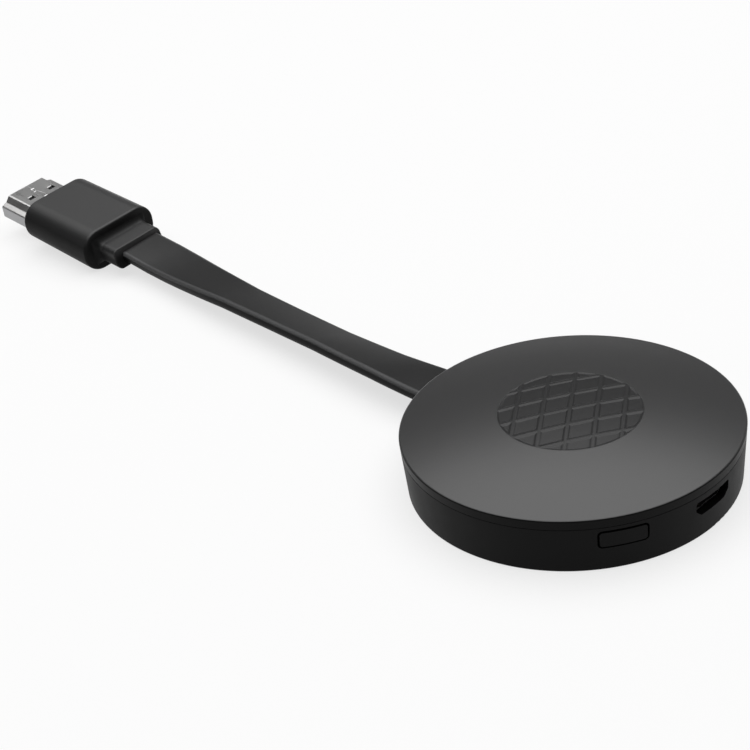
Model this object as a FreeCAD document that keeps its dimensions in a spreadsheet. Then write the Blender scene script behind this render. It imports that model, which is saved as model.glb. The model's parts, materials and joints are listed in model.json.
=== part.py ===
import FreeCAD, Part
import math
import os
import Sketcher

# Wireless display dongle: a round puck that lies on its base, a flat cable that
# leaves its back, and a video plug that leans on the same surface.
# Row frame: origin at the centre of the puck's base, +Z up, +Y towards the cable,
# power socket facing -Y. Millimetres.

doc = FreeCAD.newDocument("display_dongle")

# Driving sizes, one cell each on the sheet
SIZES = {
    # puck outside
    "rim_radius": 28.2,
    "wall_draft": 0.65,
    "rim_height": 9.85,
    "crown_height": 2.5,
    "cover_side": 1.65,
    "seam_bevel": 0.12,
    "base_rounding": 0.35,
    "rim_rounding": 0.3,
    # puck shells
    "wall_thick": 1.37,
    "floor_thick": 1.4,
    "cover_thick": 1.4,
    "lip_height": 1.0,
    "lip_thick": 1.1,
    "lip_gap": 0.08,
    # sunk disc with a lattice of ribs on the cover
    "badge_radius": 11.9,
    "badge_depth": 0.15,
    "rib_wide": 0.42,
    "rib_pitch": 4.4,
    "rib_turn": 34.0,
    # main board, its posts and screws
    "post_high": 2.0,
    "post_radius": 2.2,
    "post_inset": 3.8,
    "board_thick": 1.0,
    "board_gap": 2.0,
    "board_back_gap": 1.3,
    "tab_wide": 10.0,
    "tab_gap": 0.8,
    "screw_radius": 0.8,
    "screw_gap": 0.1,
    "screw_length": 2.6,
    "screw_spare": 0.2,
    "head_radius": 1.6,
    "head_high": 1.1,
    "drive_radius": 0.7,
    "drive_depth": 0.55,
    # processor and what cools it
    "processor_wide": 14.0,
    "processor_high": 1.1,
    "processor_y": 1.0,
    "pad_wide": 13.0,
    "pad_high": 0.5,
    "sink_gap": 0.5,
    "sink_base": 1.0,
    "fin_high": 2.0,
    "fin_thick": 0.9,
    # chips on the main board
    "memory_wide": 9.0,
    "memory_deep": 11.0,
    "memory_high": 1.0,
    "memory_gap": 2.3,
    "memory_y": -3.5,
    "flash_wide": 5.5,
    "flash_deep": 7.0,
    "flash_high": 1.0,
    "flash_x": 11.5,
    "flash_y": -12.0,
    "regulator_wide": 4.0,
    "regulator_deep": 4.0,
    "regulator_high": 0.9,
    "regulator_x": -7.5,
    "regulator_y": -13.5,
    "crystal_wide": 3.2,
    "crystal_deep": 2.5,
    "crystal_high": 0.8,
    "crystal_x": -10.5,
    "crystal_y": -7.8,
    "antenna_wide": 2.0,
    "antenna_deep": 5.0,
    "antenna_high": 1.1,
    "antenna_inset": 3.4,
    "antenna_y": -9.2,
    "coil_wide": 3.0,
    "coil_high": 1.6,
    "coil_spread": 2.4,
    "coil_y": -13.0,
    "capacitor_long": 1.0,
    "capacitor_wide": 0.5,
    "capacitor_pitch": 2.2,
    "capacitor_y": 10.2,
    "capacitor_row": 2.0,
    # radio module
    "module_inset": 7.8,
    "module_y": -2.4,
    "module_wide": 11.0,
    "module_deep": 10.0,
    "module_thick": 0.6,
    "lid_high": 1.6,
    "lid_margin": 0.5,
    "lid_wall": 0.2,
    # power socket and its mouth in the wall
    "socket_wide": 7.5,
    "socket_low_wide": 5.4,
    "socket_high": 2.45,
    "socket_corner": 0.9,
    "socket_rounding": 0.4,
    "socket_wall": 0.3,
    "socket_inset": 1.7,
    "socket_length": 5.4,
    "socket_fit": 0.05,
    "mouth_side": 0.45,
    "mouth_rounding": 0.45,
    "mouth_gap": 0.15,
    "tongue_root": 1.2,
    "tongue_wide": 3.8,
    "tongue_thick": 0.6,
    "tongue_reach": 4.0,
    "tongue_drop": 0.45,
    "pin_wide": 0.35,
    "pin_thick": 0.12,
    "pin_pitch": 0.65,
    "pin_inset": 0.2,
    # button and the switch behind it
    "button_turn": -35.0,
    "button_wide": 7.55,
    "button_high": 2.65,
    "button_rounding": 0.5,
    "button_gap": 0.32,
    "button_proud": 0.1,
    "button_travel": 0.4,
    "flange_margin": 0.65,
    "flange_depth": 1.3,
    "flange_gap": 0.2,
    "stem_wide": 2.4,
    "stem_high": 1.5,
    "stem_long": 1.3,
    "plunger_wide": 2.2,
    "plunger_high": 1.1,
    "plunger_proud": 0.7,
    "plunger_gap": 0.05,
    "switch_wide": 4.6,
    "switch_deep": 3.2,
    "switch_high": 2.9,
    "switch_pocket": 1.7,
    "plate_thick": 0.2,
    # cable exit at the back of the puck
    "exit_x": 1.2,
    "exit_z": 5.0,
    "neck_proud": 1.0,
    "neck_side": 0.8,
    "neck_cover": 0.6,
    "neck_rounding": 1.2,
    "neck_gap": 0.1,
    "seat_depth": 2.4,
    "seat_margin": 1.5,
    "grip_side": 1.2,
    "grip_cover": 0.4,
    "grip_thick": 1.4,
    "grip_gap": 0.1,
    "grip_rib_thick": 1.1,
    "grip_rib_wide": 1.8,
    "core_radius": 0.3,
    "core_pitch": 1.15,
    "core_length": 4.6,
    # flat cable
    "cable_wide": 10.0,
    "cable_thick": 2.2,
    "cable_rounding": 0.9,
    "last_run": 10.8,
    # plug body and strain relief
    "plug_x": 8.46,
    "plug_y": 151.04,
    "plug_turn": -1.25,
    "plug_lean": 4.8,
    "plug_tilt": 4.45,
    "plug_wide": 18.5,
    "plug_high": 8.9,
    "plug_widening": 0.15,
    "plug_rising": 0.5,
    "plug_length": 21.9,
    "plug_corner": 4.2,
    "plug_foot": 4.4,
    "plug_side_flat": 0.2,
    "plug_edge": 0.6,
    "plug_front_edge": 0.5,
    "relief_side": 1.25,
    "relief_cover": 1.0,
    "relief_length": 7.3,
    "relief_corner": 1.3,
    "relief_slant": 20.0,
    "relief_edge": 0.35,
    "relief_core_side": 0.75,
    "relief_core_cover": 0.12,
    "flare_long": 1.8,
    "flare_spread": 0.9,
    # metal shell of the plug
    "shell_drop": 0.95,
    "shell_wide": 13.9,
    "shell_high": 4.45,
    "shell_side": 2.8,
    "shell_step_wide": 11.2,
    "shell_step_high": 3.29,
    "shell_top_wide": 9.26,
    "shell_wall": 0.3,
    "shell_rounding": 0.45,
    "shell_reach": 11.8,
    "shell_root": 7.0,
    "fit_gap": 0.05,
    "window_wide": 1.6,
    "window_long": 1.5,
    "window_x": 2.7,
    "window_shift": 0.55,
    "window_y": 5.85,
    # inside of the plug
    "slot_wide": 10.4,
    "slot_high": 1.7,
    "slot_deep": 8.6,
    "slot_inset": 1.2,
    "insulator_tail": 1.5,
    "contact_wide": 0.45,
    "contact_thick": 0.15,
    "contact_pitch": 1.0,
    "contact_inset": 0.2,
    "chamber_side": 1.9,
    "chamber_cover": 1.52,
    "chamber_back": 3.0,
    "paddle_wide": 12.0,
    "paddle_long": 5.5,
    "paddle_thick": 0.8,
    "lead_radius": 0.25,
    "lead_length": 2.5,
    "lead_pitch": 1.1,
    # how far joined pieces run into each other, and cutting tools past a face
    "weld": 0.3,
    "cut_margin": 1.0,
    "cut_inside": 2.0,
}

# Sizes that follow from the driving ones
RULES = {
    "base_radius": "rim_radius - wall_draft",
    "cavity_radius": "base_radius - wall_thick",
    "seam_height": "rim_height - cover_side",
    "seam_radius": "base_radius + wall_draft * seam_height / rim_height",
    "top_height": "rim_height + crown_height",
    "crown_radius": "(rim_radius ^ 2 + crown_height ^ 2) / (2 * crown_height)",
    "lip_radius": "cavity_radius - lip_gap",
    "lip_inner": "lip_radius - lip_thick",
    "lip_low": "seam_height - lip_height",
    "board_low": "floor_thick + post_high",
    "board_top": "board_low + board_thick",
    "board_radius": "cavity_radius - board_gap",
    "post_circle": "board_radius - post_inset",
    "pad_low": "board_top + processor_high",
    "sink_low": "pad_low + pad_high",
    "antenna_x": "board_radius - antenna_inset",
    "module_x": "board_radius - module_inset",
    "lid_low": "board_top + module_thick",
    "socket_front": "rim_radius - socket_inset",
    "socket_back": "socket_front - socket_length",
    "button_height": "board_top + switch_high / 2",
    "button_low": "button_height - button_high / 2",
    "flange_face": "cavity_radius - flange_depth",
    "plunger_face": "flange_face - stem_long",
    "switch_front": "plunger_face - plunger_proud",
    "exit_y": "rim_radius + neck_proud",
    "neck_wide": "cable_wide + 2 * neck_side",
    "neck_high": "cable_thick + 2 * neck_cover",
    "neck_low": "exit_z - neck_high / 2",
    "grip_wide": "neck_wide + 2 * grip_side",
    "grip_high": "neck_high + 2 * grip_cover",
    "grip_low": "exit_z - grip_high / 2",
    "seat_face": "cavity_radius - seat_depth",
    "grip_back": "seat_face - grip_thick",
    "grip_rib_y": "grip_back - grip_gap - grip_rib_thick",
    "sink_wide": "2 * (module_x - module_wide / 2 - sink_gap)",
    "memory_x": "-(processor_wide / 2 + memory_gap + memory_wide / 2)",
    "plug_middle": "plug_high / 2",
    "foot_corner": "min(plug_foot; plug_high - plug_corner - plug_side_flat)",
    "plug_back_wide": "plug_wide + plug_widening",
    "leaning_drop": "(plug_middle + plug_rising / 2 - foot_corner) * cos(plug_lean * 1deg)"
                    " + (plug_back_wide / 2 - foot_corner) * sin(plug_lean * 1deg)",
    "plug_z": "(foot_corner + leaning_drop) * cos(plug_tilt * 1deg) + plug_length * sin(plug_tilt * 1deg)",
    "relief_wide": "cable_wide + 2 * relief_side",
    "relief_high": "cable_thick + 2 * relief_cover",
    "relief_low": "plug_middle - relief_high / 2",
    "relief_end": "-plug_length - relief_length",
    "relief_top_end": "relief_end + relief_high * tan(relief_slant * 1deg)",
    "shell_middle": "plug_middle - shell_drop",
    "shell_low": "shell_middle - shell_high / 2",
    "insulator_root": "shell_root + insulator_tail",
    "slot_low": "shell_middle - slot_high / 2",
    "slot_front": "shell_reach - slot_inset",
    "paddle_low": "shell_middle - paddle_thick / 2",
    "mould_front": "insulator_root + paddle_long",
    "mould_back": "plug_length - chamber_back",
    "mould_wide": "plug_wide - 2 * chamber_side",
    "mould_high": "plug_high - 2 * chamber_cover",
}

POST_ANGLES = (35, 145, -50)
FIN_COUNT = 6
CAPACITORS_IN_ROW = 6
CAPACITOR_ROWS = 2
SOCKET_PINS = 5
CORE_COUNT = 8
LEAD_COUNT = 9
UPPER_CONTACTS = 10
LOWER_CONTACTS = 9

# The flat cable's route in millimetres, between the grip and the plug: it leaves
# the grip level, sags a little in the middle and drifts sideways.
CABLE_MIDDLE_POINTS = [
    (1.2, 39.0, 5.0),
    (2.5, 53.0, 4.4),
    (4.05, 69.5, 4.0),
    (5.4, 86.0, 3.9),
    (6.85, 101.0, 3.75),
]

sheet = doc.addObject("Spreadsheet::Sheet", "Sizes")
for row, (alias, value) in enumerate(SIZES.items(), start=1):
    sheet.set(f"A{row}", alias)
    sheet.set(f"B{row}", str(value))
    sheet.setAlias(f"B{row}", alias)
doc.recompute()

PARTS = []


def rule(text):
    """Return an expression in which every size name points at the sheet."""
    words = []
    word = ""
    for mark in text + " ":
        if mark.isalnum() or mark == "_":
            word += mark
            continue
        if word in RULES:
            word = f"({rule(RULES[word])})"
        elif word in SIZES:
            word = f"Sizes.{word}"
        words.append(word)
        words.append(mark)
        word = ""
    return "".join(words).strip()


def value_of(text):
    """Work out an expression from the sheet as a plain number."""
    return float(sheet.evalExpression(rule(text)))


def bind(obj, **rules):
    """Tie properties of an object to expressions on the sheet."""
    for prop, text in rules.items():
        obj.setExpression(prop, rule(text))
    return obj


def place(obj, x="0", y="0", z="0", turn=None):
    """Tie an object's position, and its turn about Z, to the sheet."""
    if turn is not None:
        quarter = FreeCAD.Rotation(FreeCAD.Vector(0, 0, 1), 90)
        obj.Placement = FreeCAD.Placement(FreeCAD.Vector(), quarter)
        obj.setExpression("Placement.Rotation.Angle", rule(turn))
    for axis, text in zip("xyz", (x, y, z)):
        if text != "0":
            obj.setExpression(f"Placement.Base.{axis}", rule(text))
    return obj


def block(name, wide, deep, high, x="0", y="0", z="0"):
    """Make a box that is centred on x and starts at y and z."""
    box = doc.addObject("Part::Box", name)
    bind(box, Length=wide, Width=deep, Height=high)
    return place(box, f"({x}) - ({wide}) / 2", y, z)


def rod(name, radius, height, x="0", y="0", z="0"):
    """Make an upright cylinder on a foot point."""
    cylinder = doc.addObject("Part::Cylinder", name)
    bind(cylinder, Radius=radius, Height=height)
    return place(cylinder, x, y, z)


def wire_rod(name, radius, length, x, y, z):
    """Make a cylinder that lies along +Y from its start point."""
    cylinder = doc.addObject("Part::Cylinder", name)
    bind(cylinder, Radius=radius, Height=length)
    along_y = FreeCAD.Rotation(FreeCAD.Vector(1, 0, 0), -90)
    cylinder.Placement = FreeCAD.Placement(FreeCAD.Vector(), along_y)
    return place(cylinder, x, y, z)


def join(name, pieces):
    """Fuse overlapping pieces into one solid."""
    fused = doc.addObject("Part::MultiFuse", name)
    fused.Shapes = pieces
    return fused


def group(name, pieces):
    """Hold separate solids together as one node."""
    together = doc.addObject("Part::Compound", name)
    together.Links = pieces
    return together


def cut(name, base, tools):
    """Take one tool, or several, out of a base."""
    result = doc.addObject("Part::Cut", name)
    result.Base = base
    result.Tool = tools[0] if len(tools) == 1 else group(name + "_tools", tools)
    return result


def common(name, pieces):
    """Keep only what all the pieces share."""
    shared = doc.addObject("Part::MultiCommon", name)
    shared.Shapes = pieces
    return shared


def keep(label, obj):
    """Mark an object as a finished sub-part; its label names its file."""
    obj.Label = label
    PARTS.append(obj)
    return obj


def add_sketch(body, name, role):
    """Add a sketch on one of a body's origin planes."""
    sketch = body.newObject("Sketcher::SketchObject", name)
    plane = [item for item in body.Origin.OriginFeatures if item.Role == role]
    sketch.AttachmentSupport = [(plane[0], "")]
    sketch.MapMode = "FlatFace"
    return sketch


def body_sketch(name, role):
    """Start a body with one sketch on one of its origin planes."""
    body = doc.addObject("PartDesign::Body", name)
    return body, add_sketch(body, name + "_sketch", role)


def fix_point(sketch, edge, end, x, y):
    """Tie the end of a sketch edge to two expressions."""
    for axis, text, line in (("X", x, -2), ("Y", y, -1)):
        if text == "0":
            sketch.addConstraint(Sketcher.Constraint("PointOnObject", edge, end, line))
            continue
        distance = Sketcher.Constraint("Distance" + axis, -1, 1, edge, end, value_of(text))
        index = sketch.addConstraint(distance)
        label = f"{axis.lower()}_{edge}_{end}"
        sketch.renameConstraint(index, label)
        sketch.setExpression(f"Constraints.{label}", rule(text))


def draw_loop(sketch, spots):
    """Draw a closed loop of straight edges that meet at their ends."""
    last = len(spots) - 1
    for index, spot in enumerate(spots):
        following = spots[0] if index == last else spots[index + 1]
        sketch.addGeometry(Part.LineSegment(spot, following), False)
    for index in range(len(spots)):
        following = 0 if index == last else index + 1
        sketch.addConstraint(Sketcher.Constraint("Coincident", index, 2, following, 1))


def draw_outline(sketch, points):
    """Draw a closed outline through points given as expressions."""
    draw_loop(sketch, [FreeCAD.Vector(value_of(x), value_of(y), 0) for x, y in points])
    for index, (x, y) in enumerate(points):
        fix_point(sketch, index, 1, x, y)


def draw_even_outline(sketch, points):
    """Draw an outline that is even about the upright axis, from its right half."""
    right = [FreeCAD.Vector(value_of(x), value_of(y), 0) for x, y in points]
    left = [FreeCAD.Vector(-spot.x, spot.y, 0) for spot in reversed(right)]
    draw_loop(sketch, right + left)
    last = 2 * len(right) - 1
    for index, (x, y) in enumerate(points):
        fix_point(sketch, index, 1, x, y)
        sketch.addConstraint(Sketcher.Constraint("Symmetric", index, 1, last - index, 1, -2))


def prism(name, points, back, front):
    """Pad an even outline in the XZ plane from one Y to another."""
    body, sketch = body_sketch(name, "XZ_Plane")
    draw_even_outline(sketch, points)
    pad = body.newObject("PartDesign::Pad", name + "_pad")
    pad.Profile = sketch
    bind(pad, Length=f"({front}) - ({back})")
    return place(body, y=front)


def lofted(name, steps):
    """Body drawn through even outlines, each at its own distance back from the first."""
    body = doc.addObject("PartDesign::Body", name)
    sketches = []
    for number, (back, points) in enumerate(steps):
        sketch = add_sketch(body, f"{name}_step_{number}", "XZ_Plane")
        sketch.setExpression("AttachmentOffset.Base.z", rule(back))
        draw_even_outline(sketch, points)
        sketches.append(sketch)
    loft = body.newObject("PartDesign::AdditiveLoft", name + "_loft")
    loft.Profile = sketches[0]
    loft.Sections = sketches[1:]
    loft.Ruled = False
    return body


def round_edges(body, name, radius, wanted):
    """Fillet the body's edges that a test picks out."""
    doc.recompute()
    tip = body.Tip
    edges = enumerate(tip.Shape.Edges, start=1)
    names = [f"Edge{number}" for number, edge in edges if wanted(edge)]
    fillet = body.newObject("PartDesign::Fillet", name)
    fillet.Base = (tip, names)
    bind(fillet, Radius=radius)
    doc.recompute()
    return body


def runs_along_y(edge):
    """True for a straight edge that runs along Y."""
    if edge.Curve.TypeId != "Part::GeomLine":
        return False
    return abs(edge.Curve.Direction.y) > 0.999


def ring_at(radius, height):
    """Return a test for the round edge at a radius and a height."""
    def wanted(edge):
        if edge.Degenerated or edge.Curve.TypeId != "Part::GeomCircle":
            return False
        same_radius = abs(edge.Curve.Radius - value_of(radius)) < 0.01
        return same_radius and abs(edge.Curve.Center.z - value_of(height)) < 0.01
    return wanted


def lies_at_y(where):
    """Return a test for edges that lie square to Y at one place."""
    def wanted(edge):
        box = edge.BoundBox
        return box.YLength < 1e-6 and abs(box.YMin - value_of(where)) < 1e-3
    return wanted


def spans_y(length):
    """Return a test for edges that run the whole of a length in Y."""
    def wanted(edge):
        return edge.BoundBox.YLength > 0.9 * value_of(length)
    return wanted


def long_edge_at(height):
    """Return a test for the plug's long edges at one height."""
    def wanted(edge):
        box = edge.BoundBox
        off = abs((box.ZMin + box.ZMax) / 2 - value_of(height))
        return box.YLength > 0.9 * value_of("plug_length") and off < value_of("plug_high") / 4
    return wanted


def revolve(body, sketch):
    """Turn a sketch once round the upright axis."""
    turned = body.newObject("PartDesign::Revolution", body.Name + "_turn")
    turned.Profile = sketch
    turned.ReferenceAxis = (sketch, ["V_Axis"])
    turned.Angle = 360
    return body


def post_places():
    """Yield a number and the X and Y expressions of each post of the board."""
    for number, angle in enumerate(POST_ANGLES, start=1):
        yield number, f"post_circle * cos({angle}deg)", f"post_circle * sin({angle}deg)"


def row_place(number, count, pitch):
    """Return the X expression of one of a row of pieces that is centred on zero."""
    return f"({number} - {(count - 1) / 2}) * {pitch}"


def make_base_shell():
    """Floor and side wall, with posts, cable seat and the holes in the wall."""
    body, sketch = body_sketch("base_turned", "XZ_Plane")
    draw_outline(sketch, [
        ("0", "0"),
        ("base_radius", "0"),
        ("seam_radius", "seam_height - seam_bevel"),
        ("seam_radius - seam_bevel", "seam_height"),
        ("cavity_radius", "seam_height"),
        ("cavity_radius", "floor_thick"),
        ("0", "floor_thick"),
    ])
    revolve(body, sketch)
    round_edges(body, "base_foot", "base_rounding", ring_at("base_radius", "0"))
    pieces = [body, cable_seat()] + grip_ribs()
    tools = [socket_mouth(), turned_button_hole(), neck_slot()]
    for number, x, y in post_places():
        pieces.append(rod(f"post_{number}", "post_radius", "post_high + weld",
                          x, y, "floor_thick - weld"))
        depth = "screw_length - board_thick + screw_spare"
        tools.append(rod(f"pilot_{number}", "screw_radius + screw_gap", f"{depth} + cut_margin",
                         x, y, f"board_low - ({depth})"))
    keep("base_shell", cut("base_cut", join("base_raw", pieces), tools))


def cable_seat():
    """Thick part of the wall that the cable's grip is pressed against."""
    seat = block("cable_seat", "grip_wide + 2 * seat_margin", "seat_depth + weld",
                 "lip_low - lip_gap - floor_thick + weld", "exit_x", "seat_face", "floor_thick - weld")
    bound = rod("seat_bound", "cavity_radius + weld", "seam_height")
    return common("cable_seat_inside", [seat, bound])


def grip_ribs():
    """Two upright ribs that hold the grip's flange from behind."""
    ribs = []
    for name, side in (("left", "-1"), ("right", "1")):
        x = f"exit_x + ({side}) * (grip_wide - grip_rib_wide) / 2"
        ribs.append(block(f"grip_rib_{name}", "grip_rib_wide", "grip_rib_thick",
                          "grip_low + grip_high - floor_thick + weld", x, "grip_rib_y",
                          "floor_thick - weld"))
    return ribs


def socket_mouth():
    """Hole in the wall for the power socket, wide above and drawn in below."""
    low = "board_top - mouth_gap"
    points = [
        ("socket_low_wide / 2 + mouth_side - mouth_gap", low),
        ("socket_wide / 2 + mouth_side", f"{low} + socket_corner + mouth_gap"),
        ("socket_wide / 2 + mouth_side", "board_top + socket_high + mouth_gap"),
    ]
    mouth = prism("socket_mouth", points, "-rim_radius - cut_margin", "-cavity_radius + cut_inside")
    return round_edges(mouth, "mouth_corners", "mouth_rounding", runs_along_y)


def turned_button_hole():
    """Rounded hole for the button, turned to its place in the wall."""
    half = "button_wide / 2 + button_gap"
    points = [(half, "button_low - button_gap"),
              (half, "button_low + button_high + button_gap")]
    hole = prism("button_hole", points, "-rim_radius - cut_margin", "-cavity_radius + cut_inside")
    round_edges(hole, "button_hole_corners", "button_rounding + button_gap", runs_along_y)
    return place(group("button_hole_turned", [hole]), turn="button_turn")


def neck_slot():
    """Slot through the wall and its seat for the neck of the cable's grip."""
    return block("neck_slot", "neck_wide + 2 * neck_gap", "rim_radius - seat_face + 2 * cut_margin",
                 "neck_high + 2 * neck_gap", "exit_x", "seat_face - cut_margin", "neck_low - neck_gap")


def make_top_cover():
    """Crowned cover with a lip inside the wall and a sunk disc on top."""
    body, sketch = body_sketch("cover_turned", "XZ_Plane")
    inner_top = "top_height - cover_thick"
    inner_side = f"{inner_top} - crown_height * (lip_inner / rim_radius) ^ 2"
    spots = [
        ("rim_radius", "rim_height"),
        ("seam_radius", "seam_height"),
        ("lip_radius", "seam_height"),
        ("lip_radius", "lip_low"),
        ("lip_inner", "lip_low"),
        ("lip_inner", inner_side),
    ]
    corners = [FreeCAD.Vector(value_of(x), value_of(y), 0) for x, y in spots]
    for start, end in zip(corners, corners[1:]):
        sketch.addGeometry(Part.LineSegment(start, end), False)
    last_edge = len(spots) - 2
    for edge in range(last_edge):
        sketch.addConstraint(Sketcher.Constraint("Coincident", edge, 2, edge + 1, 1))
    for edge, (x, y) in enumerate(spots[:-1]):
        fix_point(sketch, edge, 1, x, y)
    fix_point(sketch, last_edge, 2, *spots[-1])
    top = FreeCAD.Vector(0, value_of("top_height"), 0)
    inner_end = FreeCAD.Vector(0, value_of(inner_top), 0)
    outer_arc = sketch.addGeometry(arc_over_axis(corners[0], top), False)
    inner_arc = sketch.addGeometry(arc_over_axis(corners[-1], inner_end), False)
    closing = sketch.addGeometry(Part.LineSegment(inner_end, top), False)
    for arc, edge, end, height in ((outer_arc, 0, 1, "top_height"),
                                   (inner_arc, last_edge, 2, inner_top)):
        sketch.addConstraint(Sketcher.Constraint("PointOnObject", arc, 3, -2))
        sketch.addConstraint(Sketcher.Constraint("Coincident", arc, 1, edge, end))
        fix_point(sketch, arc, 2, "0", height)
    sketch.addConstraint(Sketcher.Constraint("Coincident", closing, 1, inner_arc, 2))
    sketch.addConstraint(Sketcher.Constraint("Coincident", closing, 2, outer_arc, 2))
    revolve(body, sketch)
    round_edges(body, "cover_rim", "rim_rounding", ring_at("rim_radius", "rim_height"))
    keep("top_cover", cut("cover_cut", body, [badge_pockets()]))


def arc_over_axis(side, top):
    """Arc from a side point up to a point on the axis, centred on the axis."""
    rise = top.y - side.y
    radius = (side.x ** 2 + rise ** 2) / (2 * rise)
    middle = FreeCAD.Vector(0, top.y - radius, 0)
    start = math.atan2(side.y - middle.y, side.x)
    circle = Part.Circle(middle, FreeCAD.Vector(0, 0, 1), radius)
    return Part.ArcOfCircle(circle, start, math.pi / 2)


def badge_pockets():
    """Sunk pockets between the crossed ribs of the cover's round badge."""
    disc = rod("badge_disc", "badge_radius", "crown_height + cut_margin", z="rim_height")
    ball = doc.addObject("Part::Sphere", "badge_floor")
    bind(ball, Radius="crown_radius - badge_depth")
    place(ball, z="top_height - crown_radius")
    reach = int(value_of("badge_radius / rib_pitch"))
    count = 2 * reach + 1
    ribs = []
    for name, side in (("left", "1"), ("right", "-1")):
        bars = []
        for number in range(count):
            low = f"{row_place(number, count, 'rib_pitch')} - rib_wide / 2"
            bars.append(block(f"badge_bar_{name}_{number + 1}", "2 * (badge_radius + cut_margin)",
                              "rib_wide", "crown_height + 3 * cut_margin", "0", low,
                              "rim_height - cut_margin"))
        ribs.append(place(group(f"badge_ribs_{name}", bars), turn=f"({side}) * rib_turn"))
    return cut("badge_pockets", disc, [ball] + ribs)


def make_board():
    """Round board with a straight back, a tab for the socket and screw holes."""
    back = "grip_rib_y - board_back_gap"
    reach = "cavity_radius - tab_gap"
    disc = rod("board_disc", "board_radius", "board_thick", z="board_low")
    front = block("board_front", "2 * (board_radius + cut_margin)", f"board_radius + {back}",
                  "board_thick", "0", "-board_radius", "board_low")
    tab = block("board_tab", "tab_wide", reach, "board_thick", "0", f"-({reach})", "board_low")
    raw = join("board_raw", [common("board_round", [disc, front]), tab])
    holes = []
    for number, x, y in post_places():
        holes.append(rod(f"board_hole_{number}", "screw_radius + screw_gap",
                         "board_thick + 2 * cut_margin", x, y, "board_low - cut_margin"))
    keep("main_board", cut("board_cut", raw, holes))


def make_board_screws():
    """Three pan head screws that hold the board on its posts."""
    screws = []
    for number, x, y in post_places():
        shank = rod(f"screw_shank_{number}", "screw_radius", "screw_length + weld",
                    x, y, "board_top - screw_length")
        head = rod(f"screw_head_{number}", "head_radius", "head_high", x, y, "board_top")
        drive = rod(f"screw_drive_{number}", "drive_radius", "drive_depth + cut_margin",
                    x, y, "board_top + head_high - drive_depth")
        solid = join(f"screw_{number}", [shank, head])
        screws.append(cut(f"screw_cut_{number}", solid, [drive]))
    keep("board_screws", group("screw_group", screws))


def make_cooling():
    """Processor, the pad that carries its heat, and the finned heat sink."""
    keep("processor", block("processor_box", "processor_wide", "processor_wide", "processor_high",
                            "0", "processor_y - processor_wide / 2", "board_top"))
    keep("thermal_pad", block("pad_box", "pad_wide", "pad_wide", "pad_high",
                              "0", "processor_y - pad_wide / 2", "pad_low"))
    sink_y = "processor_y - sink_wide / 2"
    pieces = [block("sink_plate", "sink_wide", "sink_wide", "sink_base", "0", sink_y, "sink_low")]
    fin_pitch = f"(sink_wide - fin_thick) / {FIN_COUNT - 1}"
    for number in range(FIN_COUNT):
        pieces.append(block(f"sink_fin_{number + 1}", "fin_thick", "sink_wide", "fin_high + sink_base",
                            row_place(number, FIN_COUNT, fin_pitch), sink_y, "sink_low"))
    keep("heat_sink", join("sink_fused", pieces))


def make_chips():
    """Smaller chips and passive parts that stand on the board."""
    chips = {
        "memory_chip": "memory",
        "flash_chip": "flash",
        "power_chip": "regulator",
        "crystal": "crystal",
        "chip_antenna": "antenna",
    }
    for label, stem in chips.items():
        keep(label, block(label + "_box", f"{stem}_wide", f"{stem}_deep", f"{stem}_high",
                          f"{stem}_x", f"{stem}_y", "board_top"))
    coils = []
    for number, side in enumerate(("-1", "1"), start=1):
        coils.append(block(f"coil_{number}", "coil_wide", "coil_wide", "coil_high",
                           f"({side}) * coil_spread", "coil_y", "board_top"))
    keep("power_coils", group("coil_group", coils))
    capacitors = []
    for line in range(CAPACITOR_ROWS):
        for number in range(CAPACITORS_IN_ROW):
            capacitors.append(block(f"capacitor_{line + 1}_{number + 1}", "capacitor_long",
                                    "capacitor_wide", "capacitor_wide",
                                    row_place(number, CAPACITORS_IN_ROW, "capacitor_pitch"),
                                    f"capacitor_y + {line} * capacitor_row", "board_top"))
    keep("capacitors", group("capacitor_group", capacitors))


def make_radio_module():
    """Radio module: a small board of its own under a sheet metal lid."""
    keep("radio_board", block("radio_board_box", "module_wide", "module_deep",
                              "module_thick", "module_x", "module_y", "board_top"))
    outer = block("lid_outer", "module_wide - 2 * lid_margin", "module_deep - 2 * lid_margin",
                  "lid_high", "module_x", "module_y + lid_margin", "lid_low")
    inset = "(lid_margin + lid_wall)"
    inner = block("lid_inner", f"module_wide - 2 * {inset}", f"module_deep - 2 * {inset}",
                  "lid_high", "module_x", f"module_y + {inset}", "lid_low - lid_wall")
    keep("radio_shield", cut("lid_cut", outer, [inner]))


def socket_outline(inset):
    """Right half of the power socket's section, moved inwards by an inset."""
    half = f"socket_wide / 2 - ({inset})"
    return [
        (f"socket_low_wide / 2 - 0.4 * ({inset})", f"board_top + ({inset})"),
        (half, f"board_top + socket_corner + 0.4 * ({inset})"),
        (half, f"board_top + socket_high - ({inset})"),
    ]


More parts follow.
